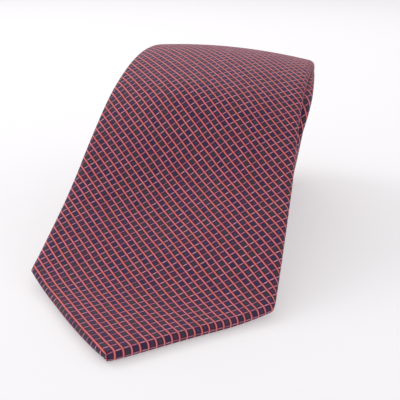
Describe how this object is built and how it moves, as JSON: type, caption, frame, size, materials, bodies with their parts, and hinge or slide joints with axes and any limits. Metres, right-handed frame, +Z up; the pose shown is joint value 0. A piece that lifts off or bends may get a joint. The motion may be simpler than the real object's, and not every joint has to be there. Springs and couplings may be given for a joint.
{
  "type": "necktie",
  "caption": "Rolled silk necktie on its side, with the wide blade draped over the front so that its pointed tip lies on the table and can be lifted.",
  "frame": {"origin": "middle of the bounding box in plan, on the surface that the tie lies on", "axes": "-Y from the roll to the pointed tip of the wide blade, +X across the blade to the wearer's left of the front face, +Z up"},
  "size_m": [0.092, 0.2178, 0.0701],
  "materials": {
    "silk": "satin",
    "interlining": "matte",
    "lining": "satin",
    "label": "satin",
    "thread": "matte"
  },
  "bodies": {
    "roll": {"roll_envelope": "silk", "neck_envelope": "silk", "tail_envelope": "silk", "wide_neck_seam": "thread", "neck_tail_seam": "thread", "roll_interlining": "interlining", "tail_interlining": "interlining", "narrow_tipping": "lining", "roll_slip_stitch": "thread", "narrow_bar_tack": "thread"},
    "blade": {"blade_envelope": "silk", "blade_interlining": "interlining", "wide_tipping": "lining", "blade_slip_stitch": "thread", "wide_bar_tack": "thread", "keeper_loop": "silk", "keeper_tack_left": "thread", "keeper_tack_right": "thread", "care_label": "label", "label_stitch_left": "thread", "label_stitch_right": "thread"}
  },
  "joints": [
    {"name": "blade_lift", "type": "hinge", "parent": "roll", "child": "blade", "pos_m": [0, 0.02236, 0.06418], "axis": [-1, 0, 0], "range_deg": [0, 90]}
  ]
}
